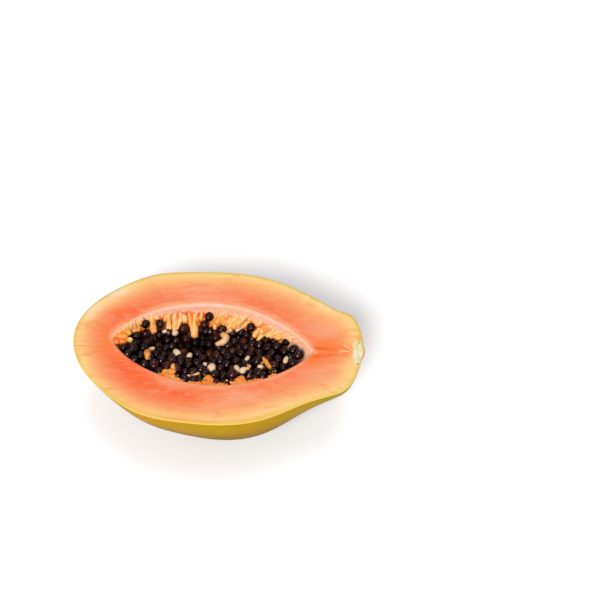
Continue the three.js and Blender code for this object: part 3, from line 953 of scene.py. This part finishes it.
# %% Wet gel at the hollow's blossom tip
# Each lump: its middle, its half length, half width and half height in millimetres, and its tint.
GEL_LUMPS = [
    ((-65.4, 3.2, -2.3), (2.6, 2.8, 1.5), 0.0),
    ((-62.4, 3.6, -3.0), (4.0, 2.3, 1.6), 0.15),
    ((-59.2, 4.6, -3.9), (3.6, 1.5, 1.3), 0.5),
    ((-57.2, 5.5, -4.2), (2.3, 1.7, 1.5), 1.0),
    ((-63.0, 7.4, -2.8), (4.6, 3.2, 1.4), 0.5),
    ((-60.0, 10.2, -3.6), (3.4, 2.4, 1.5), 0.8),
]


def ball_arrays(levels):
    """Points and faces of a ball of radius 1, made of triangles."""
    form = bmesh.new()
    bmesh.ops.create_icosphere(form, subdivisions=levels, radius=1.0)
    points = np.array([point.co for point in form.verts])
    faces = [[corner.index for corner in face.verts] for face in form.faces]
    form.free()
    return points, faces


ball_points, ball_faces = ball_arrays(3)
crumb_points, crumb_faces = ball_arrays(2)
print("faces on a seed:", len(ball_faces), "and on a crumb:", len(crumb_faces))
gel = Heap()
for middle, half_sizes, tint in GEL_LUMPS:
    shape = ball_points * np.array(half_sizes) * MM
    gel.add(lumpy(shape, 0.6 * MM, 3.0 * MM, middle[0]) + np.array(middle) * MM, ball_faces, tint)
gel_stops = {0.2: (250, 112, 6), 0.4: (255, 138, 18), 0.58: (254, 176, 62), 0.8: (252, 206, 128)}
gel.piece("orange_gel", small_finish("orange_gel", stops=gel_stops, **PULP), "papaya_flesh", "strands")

# %% [markdown]
# ## The heap of seeds
#
# Some four hundred seeds fill the hollow. A physics simulation could drop them in, but it is slow and
# depends on its settings. Packing by pushing is quick and always gives the same result: seeds that overlap
# push each other apart, the wall and the heap's own surface hold them in, and after some rounds they lie as
# close as real ones. Seeds that stand out get a place of their own, and the others are packed round them.

# %% Seeds with a place of their own
# Pale unripe seeds: x and y in millimetres, half length, half width and turn in degrees.
PALE_SEEDS = [
    (-27.0, 1.0, 3.1, 2.4, 125),
    (-18.5, -0.5, 2.6, 1.8, 75),
    (-3.0, -11.5, 3.3, 2.8, 80),
    (13.0, -12.0, 3.0, 2.0, 110),
    (17.2, -13.2, 2.7, 2.1, 40),
    (28.0, -10.5, 2.1, 1.8, 20),
    (44.0, -5.0, 2.6, 1.6, 70),
    (-43.0, 1.5, 2.3, 1.4, 20),
    (11.5, 22.5, 2.4, 1.8, 10),
    (19.0, -1.0, 2.2, 1.4, 60),
    (-29.7, 17.3, 2.3, 1.8, 30),
    (-7.5, -8.5, 1.8, 1.6, 0),
    (-36.5, 17.5, 1.8, 1.3, 20),
]
PALE_PROUD = 1.6 * MM
# Black seeds that fill the narrow ends: x and y in millimetres.
END_SEEDS = [
    (48.5, 5.0), (46.5, -1.5), (48.8, -7.4), (43.0, 11.5), (42.5, 4.0), (-28.5, 13.2),
    (-60.5, -2.0), (-57.0, -6.0), (-52.5, -10.0), (-54.5, -1.0), (-53.5, 5.0), (-54.0, 11.0), (-48.5, 13.5),
]
GEL_ROOM = [(-61, 5.5, 4.5), (-58, 6.5, 3.0)]  # room that the gel takes: x, y and radius


def on_heap(places, proud=0.0):
    """Points on the heap's surface over places whose first numbers are x and y in millimetres."""
    points = np.array([(x, y, 0) for x, y, *_ in places]) * MM
    points[:, 2] = heap_level(points) + proud
    return points


pale_at = on_heap(PALE_SEEDS, PALE_PROUD)
end_at = on_heap(END_SEEDS)
gel_at = np.array([(x, y, -4) for x, y, _ in GEL_ROOM]) * MM
pale_radii = np.array([(long + 2 * wide) / 3 for *_, long, wide, _ in PALE_SEEDS]) * MM
gel_radii = np.array([radius for *_, radius in GEL_ROOM]) * MM

# %% What holds the seeds in
SEEDS = 400
SEED_HALF_LENGTH, SEED_HALF_WIDTH = 3.4 * MM, 2.95 * MM
SURFACE_UNEVEN = 2.4 * MM
FAR_ROW_DROP = 1.5 * MM
MOST_TOP = packed_box[1][2] - cut_height - 0.1 * MM


def surface_wave(points):
    """Hills and dips of the heap, a few millimetres high."""
    flat = points * [1, 1, 0]
    return SURFACE_UNEVEN * (noise_at(flat, (9 * MM,) * 3) + 0.8 * noise_at(flat, (20 * MM,) * 3, 5.0))


def far_row(points):
    """The seeds next to the far wall lie a little lower, so that more of the strands shows."""
    unit = hollow_unit(points)
    chord = np.sqrt(np.clip(1 - unit[:, 0] ** 2, 1e-6, 1))
    return -FAR_ROW_DROP * smooth_step(unit[:, 1] / chord, 0.35, 0.8)


def held_in(points, size, wave):
    """The seeds, but put back where they left the hollow or rose over the heap's surface."""
    unit = hollow_unit(points)
    most = 1 - 0.9 * size / HOLLOW_HALF_WIDTH
    unit *= np.minimum(1, most / np.linalg.norm(unit, axis=1))[:, None]
    points = hollow_points(unit)
    top = np.minimum(heap_level(points) + wave + far_row(points), MOST_TOP - 1.2 * size)
    points[:, 2] = np.minimum(points[:, 2], top)
    return points


# %% Packing
PACK_ROUNDS = 220
PUSH = 0.32
NEW_WAVE_AFTER = 20  # rounds
SEED_ROOM = 1.07  # times its half width, the room that a seed takes
TRIED_PLACES = 4000  # more than enough, since those outside the heap are left out

draw = np.random.default_rng(3)
sizes = np.clip(draw.normal(1.0, 0.09, SEEDS + len(END_SEEDS)), 0.78, 1.22)
radii = np.concatenate([pale_radii, gel_radii, sizes * SEED_HALF_WIDTH * SEED_ROOM])
start = draw.uniform(-1, 1, (TRIED_PLACES, 3)) * [1, 1, 0.5] - [0, 0, 0.5]
start = hollow_points(start[np.linalg.norm(start, axis=1) < 0.92])
start = start[start[:, 2] < heap_level(start)][:SEEDS]
middles = np.concatenate([pale_at, gel_at, end_at, start])
fixed = len(middles) - len(start)
wave = surface_wave(middles)[fixed:]
for step in range(PACK_ROUNDS):
    gaps = middles[:, None] - middles[None]
    apart = np.linalg.norm(gaps, axis=-1) + np.eye(len(middles))
    overlap = np.clip(radii[:, None] + radii[None] - apart, 0, None)
    np.fill_diagonal(overlap, 0)
    moves = PUSH * (gaps / apart[..., None] * overlap[..., None]).sum(axis=1)
    middles[fixed:] = held_in((middles + moves)[fixed:], radii[fixed:], wave)
    if step % NEW_WAVE_AFTER == 0:
        wave = surface_wave(middles)[fixed:]
black_at = middles[fixed - len(end_at):]
print("black seeds:", len(black_at))
print("mean overlap left in mm:", round(float(overlap.sum(axis=1).mean() / MM), 3))

# %% [markdown]
# In a real heap hardly any light reaches the seeds that lie deep between others or down in the dip. Soft
# lamps and a white room light them too well, so these seeds get a duller, darker finish of their own.

# %% Which seeds lie in the dark
DARK_REACH = 5.0 * MM  # a seed lies in the dark if another one this near is higher
DARK_DROP = 2.8 * MM  # by this much
DIP_DARK = 1.05  # or if it lies within this share of the dip

apart = np.linalg.norm((black_at[:, None] - black_at[None])[..., :2], axis=-1)
covered = np.where(apart < DARK_REACH, black_at[:, 2], -1).max(axis=1) - black_at[:, 2] > DARK_DROP
in_dark = covered | (np.linalg.norm((black_at - DIP_AT)[:, :2] / DIP_SIZE, axis=1) < DIP_DARK)
print("seeds in the dark:", int(in_dark.sum()), "of", len(in_dark))

# %% [markdown]
# A seed is a slightly uneven egg. One ball is made with Blender's bmesh, and its points are stretched,
# turned and set down for each seed, all in arrays.

# %% One seed
EGG_DENTS, EGG_SLIM = 0.09, 0.13


def random_turns(draw, count):
    """Turns in every direction alike, as 3 by 3 matrices."""
    return [np.array(Quaternion(four).normalized().to_matrix()) for four in draw.normal(size=(count, 4))]


def egg(half_length, half_width, offset):
    """A ball stretched to an egg that is slimmer at one end, with soft dents."""
    points = ball_points * (1 + EGG_DENTS * noise_at(ball_points, (0.9, 0.9, 0.9), offset)[:, None])
    slim = 1 - EGG_SLIM * points[:, :1]
    return np.concatenate([points[:, :1] * half_length, points[:, 1:] * half_width * slim], axis=1)


# %% The black seeds' materials
SEED = dict(
    scale=260.0, tint_share=0.7, relief=(360.0, 0.0006, 0.6), pits=(900.0, 0.00015, 0.4),
    Specular_Tint=(1.0, 0.74, 0.76, 1),
)
seed_material = small_finish(
    "papaya_seeds", stops={0.15: (12, 3, 3), 0.45: (24, 6, 5), 0.70: (42, 12, 8), 0.92: (76, 28, 14)},
    smooth=0.12, rough=0.192, Specular_IOR_Level=0.27, **SEED,
)
dark_material = small_finish(
    "dark_seeds", stops={0.15: (4, 2, 2), 0.45: (10, 3, 2), 0.70: (17, 6, 4), 0.92: (26, 10, 6)},
    smooth=0.3, rough=0.48, Specular_IOR_Level=0.11, **SEED,
)

# %% The black seeds, and those that cling to the far wall
draw = np.random.default_rng(19)
black, dark, clinging = Heap(), Heap(), Heap()
for centre, turn, size, sunk in zip(black_at, random_turns(draw, len(black_at)), sizes, in_dark):
    half_width = SEED_HALF_WIDTH * size * draw.uniform(0.92, 1.06)
    shape = egg(SEED_HALF_LENGTH * size, half_width, draw.uniform(0, 50))
    tint = draw.uniform() ** 1.3
    (dark if sunk else black).add(kept_below(shape @ turn.T + centre, MOST_TOP), ball_faces, tint)
for centre, turn in zip(clinging_at, random_turns(draw, len(clinging_at))):
    shape = egg(SEED_HALF_LENGTH, SEED_HALF_WIDTH, draw.uniform(0, 50))
    clinging.add(shape @ turn.T + centre, ball_faces, draw.uniform())
black.piece("black_seeds", seed_material, "seed_heap", "seeds")
dark.piece("dark_seeds", dark_material, "seed_heap", "seeds")
clinging.piece("clinging_seeds", seed_material, "papaya_flesh", "seeds")

# %% [markdown]
# ## The dark bed under the seeds
#
# Between real seeds one sees only darkness and wet gel. A smooth dark core a little below their tops stands
# for it. Its edge ends where the heap's surface meets the hollow's wall.

# %% The core
CORE_DROP = 5.5 * MM
CORE_REACH = 0.9
CORE_RINGS = 24
plan = np.stack([np.cos(turns), np.sin(turns), np.zeros(ROUND)], axis=-1)


def core_top(reach):
    """The core's top, so far out from the middle of the half ball's plan."""
    points = hollow_points(reach * plan)
    points[..., 2] = heap_level(points) - CORE_DROP
    return points


def core_under(reach):
    """The core's underside there, which follows the hollow's wall."""
    unit = reach * plan
    unit[..., 2] = -np.sqrt(np.clip(CORE_REACH ** 2 - reach[..., 0] ** 2, 0, 1))
    return hollow_points(unit)


reaches = np.linspace(0.02, CORE_REACH, 300)
steps_out = reaches[:, None, None]
room = core_top(steps_out)[..., 2] - core_under(steps_out)[..., 2] > 0.4 * MM
core_edge = reaches[len(reaches) - 1 - np.argmax(room[::-1], axis=0)][:, None]
core_shares = np.linspace(0.04, 1, CORE_RINGS)
core_rings = [core_under(share * core_edge) for share in core_shares]
core_rings += [core_top(share * core_edge) for share in core_shares[::-1]]
# A near black finish: painted shade between the seeds, with the dark of their wet gel.
shade_bed_material = small_finish(
    "shade_bed", 300.0, {0.3: (3, 2, 3), 0.7: (12, 6, 5)},
    0.0, (300.0, 0.0008, 0.6), 0.5, 0.7, Specular_IOR_Level=0.1,
)
points, faces = closed_rings(core_rings)
make_piece("shade_bed", points, faces, shade_bed_material, "seed_heap")

# %% [markdown]
# ## Pale seeds, scraps of pulp and crumbs
#
# Unripe seeds are cream and a little smaller. Torn scraps of pulp lie on the seeds and sag between them, so
# their height follows the seeds below. Along the near edge the knife left soft lumps of pulp, thick in
# three places, and small crumbs next to them. A sculpting brush could pull such lumps out of the wall, but
# many small uneven balls that run into each other are quicker and look as ragged.

# %% The pale seeds
pale_material = small_finish(
    "pale_seeds", 380.0, {0.2: (208, 158, 112), 0.5: (231, 192, 148), 0.8: (248, 222, 190)},
    0.45, (380.0, 0.0003, 0.5), 0.3, 0.45,
    Specular_IOR_Level=0.4, Subsurface_Weight=0.15, Subsurface_Scale=0.001,
)
pale = Heap()
for centre, (*_, half_length, half_width, heading) in zip(pale_at, PALE_SEEDS):
    turn = Matrix.Rotation(math.radians(heading), 3, "Z") @ Matrix.Rotation(draw.uniform(-0.3, 0.3), 3, "Y")
    shape = egg(half_length * MM, half_width * MM, draw.uniform(0, 50)) @ np.array(turn).T + centre
    pale.add(kept_below(shape, MOST_TOP), ball_faces, draw.uniform(0.3, 1))
pale.piece("pale_seeds", pale_material, "seed_heap", "pale_seeds")

# %% Scraps of pulp that lie on the seeds
# Each scrap: its tint, and along it the places in plan and the half widths there, all in millimetres.
SCRAPS = [
    (0.50, [(-45.6, 0.0, 1.5), (-45.0, -3.5, 2.4), (-44.4, -7.0, 1.9), (-44.0, -10.0, 1.0)]),
    (1.00, [(-0.4, 18.2, 1.3), (2.2, 17.4, 2.1), (3.8, 15.2, 2.6), (2.8, 12.8, 2.5), (0.3, 11.4, 2.0),
            (-3.0, 10.4, 1.1)]),
    (0.45, [(29.0, -2.0, 1.0), (31.2, -5.0, 1.3), (33.0, -8.0, 1.6), (34.4, -11.0, 1.1)]),
    (0.55, [(30.6, -4.0, 0.9), (28.6, -6.0, 0.8), (27.6, -8.0, 0.6)]),
    (1.00, [(-17.5, -21.0, 0.7), (-14.0, -19.0, 0.8), (-10.5, -16.5, 0.9)]),
    (0.75, [(21.0, -8.4, 1.2), (20.4, -10.6, 1.5), (19.8, -13.0, 1.0)]),
    (0.90, [(7.5, 22.5, 1.3), (5.0, 21.3, 1.2), (2.5, 20.0, 0.8)]),
    (0.85, [(-27.2, -12.6, 1.0), (-27.0, -15.2, 1.4), (-27.6, -18.0, 1.3)]),
]


def top_of_seeds(x, y):
    """The height of the highest seed over a place in plan."""
    off = np.hypot(middles[:, 0] - x, middles[:, 1] - y)
    heights = middles[:, 2] + np.sqrt(np.clip(radii ** 2 - off ** 2, 0, None))
    return max(float(heap_level(np.array([x, y, 0.0]))), float(np.where(off < radii, heights, -1).max()))


def evened(values, weights):
    """Each value as the weighted mean of its neighbours, with the end values repeated."""
    return np.convolve(np.pad(values, len(weights) // 2, mode="edge"), weights, mode="valid")


scraps = Heap()
for tint, corners in SCRAPS:
    at = np.linspace(0, len(corners) - 1, 14)
    columns = (np.interp(at, range(len(corners)), column) for column in np.array(corners).T * MM)
    x, y, girths = (evened(column, [0.25, 0.5, 0.25]) for column in columns)
    heights = evened([top_of_seeds(*place) for place in zip(x, y)], np.ones(7) / 7)
    line = np.stack([x, y, heights + 0.3 * girths], axis=-1)
    girths[[0, -1]] *= 0.6
    points, faces = tube(line, girths)
    points = lumpy(lumpy(points, 0.7 * MM, 2.4 * MM, 3.0), 0.35 * MM, 0.9 * MM, 8.0)
    scraps.add(kept_below(points, MOST_TOP), faces, tint)
scrap_stops = {0.2: (248, 114, 8), 0.4: (249, 142, 30), 0.58: (247, 172, 78), 0.8: (240, 194, 142)}
scrap_material = small_finish("pulp_scraps", stops=scrap_stops, **PULP)
scraps.piece("pulp_scraps", scrap_material, "seed_heap", "strands")

# %% Pulp along the near edge of the hollow
NEAR_LUMPS = 80
NEAR_FROM, NEAR_TO = -36 * MM, 38 * MM
# Three thicker places: where along the fruit, half their length and how far they reach in over the seeds,
# all in millimetres, then how many lumps they have and their tint.
THICK_PLACES = [(-29.0, 3.2, 4.6, 9, 0.15), (-3.4, 3.4, 4.0, 9, 0.0), (15.8, 4.0, 3.4, 9, 0.15)]
JUST_UNDER = -0.2 * MM  # no lump stands up over the cut face
near_pulp = Heap()


def near_edge(x):
    """The place on the hollow's near edge that lies at x."""
    along = (x - HOLLOW_MIDDLE) / HOLLOW_HALF_LENGTH
    return hollow_points(np.array([along, -math.sqrt(1 - along ** 2), 0.0]))


def add_lump(x, inset, size, tint):
    """A flat ragged lump beside the near edge, that far in from it."""
    centre = near_edge(x) + [0, inset, 0]
    centre[2] = max(-1.3 * MM, min(top_of_seeds(centre[0], centre[1]), 0) - 0.4 * size)
    stretch = draw.uniform(0.8, 1.5, 3) * [1.2, 1.0, 0.6]
    shape = lumpy(crumb_points, 0.28, 1.5, draw.uniform(0, 50)) * stretch * size
    tint = np.clip(tint + draw.normal(0, 0.15), 0, 1)
    near_pulp.add(kept_below(shape + centre, JUST_UNDER), crumb_faces, tint)


for i in range(NEAR_LUMPS):
    x = NEAR_FROM + (NEAR_TO - NEAR_FROM) * (i + draw.uniform()) / NEAR_LUMPS
    thick = 0.75 + 0.9 * noise.noise(Vector((x / (7 * MM), 0, 0)))
    if thick > 0.5:
        add_lump(x, draw.uniform(0.4, 0.9) * MM, min(thick, 1.1) * 1.1 * MM, draw.uniform(0.0, 0.4))
for middle, reach, inwards, count, tint in THICK_PLACES:
    for i in range(count):
        far_in = draw.uniform() ** 1.4
        x = middle + reach * draw.uniform(-1, 1) * (1 - 0.5 * far_in)
        add_lump(x * MM, (0.8 + inwards * far_in) * MM, draw.uniform(1.5, 2.3) * MM, tint + 0.3 * far_in)
near_pulp.piece("near_pulp", scrap_material, "papaya_flesh", "strands")

# %% Crumbs of pulp on the seeds near that edge
CRUMBS = 22
crumbs = Heap()
for i in range(CRUMBS):
    x = draw.uniform(-36, 40) * MM
    y = near_edge(x)[1] + (1.5 + 5 * draw.uniform() ** 2) * MM
    size = draw.uniform(0.25, 0.7) * MM
    shape = lumpy(crumb_points, 0.55, 0.7, draw.uniform(0, 50))
    shape = shape * draw.uniform(0.7, 1.5, 3) * [1, 1, 0.6] * size
    centre = np.array([x, y, top_of_seeds(x, y) - 0.1 * size])
    crumbs.add(kept_below(shape + centre, JUST_UNDER), crumb_faces, draw.uniform(0.2, 0.9))
crumbs.piece("pulp_crumbs", scrap_material, "seed_heap", "strands")

# %% Flecks of bark at the edge of the stalk's scar
# Each fleck: x and y on the cut face, and its size, in millimetres.
FLECKS = [(90.0, 8.3, 1.0), (90.7, 7.4, 0.6), (89.9, -7.1, 1.1), (90.6, -6.1, 0.7), (89.3, -8.6, 0.7)]
flecks = Heap()
for x, y, size in FLECKS:
    shape = lumpy(crumb_points, 0.3, 0.8, x + y) * np.array([0.8, 1.0, 0.3]) * size * MM
    flecks.add(shape + np.array([x, y, -0.25]) * MM, crumb_faces, draw.uniform(0, 0.3))
fleck_material = small_finish(
    "bark_flecks", 900.0, {0.3: (84, 66, 18), 0.7: (150, 128, 52)},
    0.0, (900.0, 0.0002, 0.5), 0.5, 0.7, Specular_IOR_Level=0.2,
)
flecks.piece("bark_flecks", fleck_material, "papaya_flesh", "skin")

# %% [markdown]
# ## Floor, light and camera
#
# A plain pale floor and soft light show the fruit as it is. The key lamp shines from the front, half way up,
# and lights the face and the front of the skin. A weaker one stands almost overhead, a little behind. Both
# are broad discs, so their shadows are soft, and the white room fills them. The camera stands as steep as
# it must to see the level cut face like one that leans towards it.

# %% The floor
FLOOR_HALF = 3.0
floor_mesh = bpy.data.meshes.new("floor")
floor_corners = [(x * FLOOR_HALF, y * FLOOR_HALF, 0) for x, y in ((-1, -1), (1, -1), (1, 1), (-1, 1))]
floor_mesh.from_pydata(floor_corners, [], [[0, 1, 2, 3]])
floor = bpy.data.objects.new("floor", floor_mesh)
scene.collection.objects.link(floor)
paper = Finish("white_paper", Specular_IOR_Level=0.1)
grain = paper.noise(6.0, 2.0, 0.5)
floor_mesh.materials.append(paper.finish(
    paper.ramp(grain, {0.3: (0.80, 0.795, 0.80), 0.7: (0.82, 0.815, 0.82)}, lambda *light: [*light, 1.0]),
    [(paper.noise(400.0, 3.0, 0.5), 0.0001, 0.2)],
    grain, 0.85, 0.95,
))

# %% The lamps
# Each lamp: how steep and from which side it shines in degrees, how wide its disc is, and its strength.
LAMPS = {
    "key_lamp": (48, -14, 24, 3.1),
    "back_lamp": (76, 160, 30, 0.98),
}
ROOM_LIGHT = 0.55


def way_towards(elevation, azimuth):
    """The way towards something so many degrees up. Azimuth 0 is in front, and 180 behind."""
    steep, side = math.radians(elevation), math.radians(azimuth)
    return Vector((math.sin(side) * math.cos(steep), -math.cos(side) * math.cos(steep), math.sin(steep)))


for name, (elevation, azimuth, disc, strength) in LAMPS.items():
    lamp = bpy.data.lights.new(name, "SUN")
    lamp.angle = math.radians(disc)
    lamp.energy = strength
    lamp.color = (1.0, 0.99, 0.98)
    holder = bpy.data.objects.new(name, lamp)
    holder.location = way_towards(elevation, azimuth)
    holder.rotation_euler = way_towards(elevation, azimuth).to_track_quat("Z", "Y").to_euler()
    scene.collection.objects.link(holder)
    print(name, "shines from", np.round(way_towards(elevation, azimuth), 2))

world = bpy.data.worlds.new("white_room")
world.use_nodes = True
background = world.node_tree.nodes["Background"].inputs
background["Color"].default_value = (0.98, 0.96, 1.0, 1)
background["Strength"].default_value = ROOM_LIGHT
scene.world = world
scene.view_settings.view_transform = "Standard"

# %% The camera
LENS, SENSOR = 90, 36
FRAME_PIXELS = 600
DISTANCE = 0.957
CUT_MIDDLE_IN_FRAME = (217.5, 347.6)

back = way_towards(58, 3)
right = Vector((0, 0, 1)).cross(back).normalized()
up = back.cross(right)
pixel = DISTANCE * SENSOR / (LENS * FRAME_PIXELS)
aim = Vector(shift)
aim += right * pixel * (FRAME_PIXELS / 2 - CUT_MIDDLE_IN_FRAME[0])
aim += up * pixel * (CUT_MIDDLE_IN_FRAME[1] - FRAME_PIXELS / 2)
camera_data = bpy.data.cameras.new("camera")
camera_data.lens = LENS
camera_data.sensor_width = SENSOR
camera = bpy.data.objects.new("camera", camera_data)
camera.location = aim + back * DISTANCE
camera.rotation_euler = Matrix((right, up, back)).transposed().to_euler()
scene.collection.objects.link(camera)
scene.camera = camera
print("one pixel is", round(pixel / MM, 3), "mm")
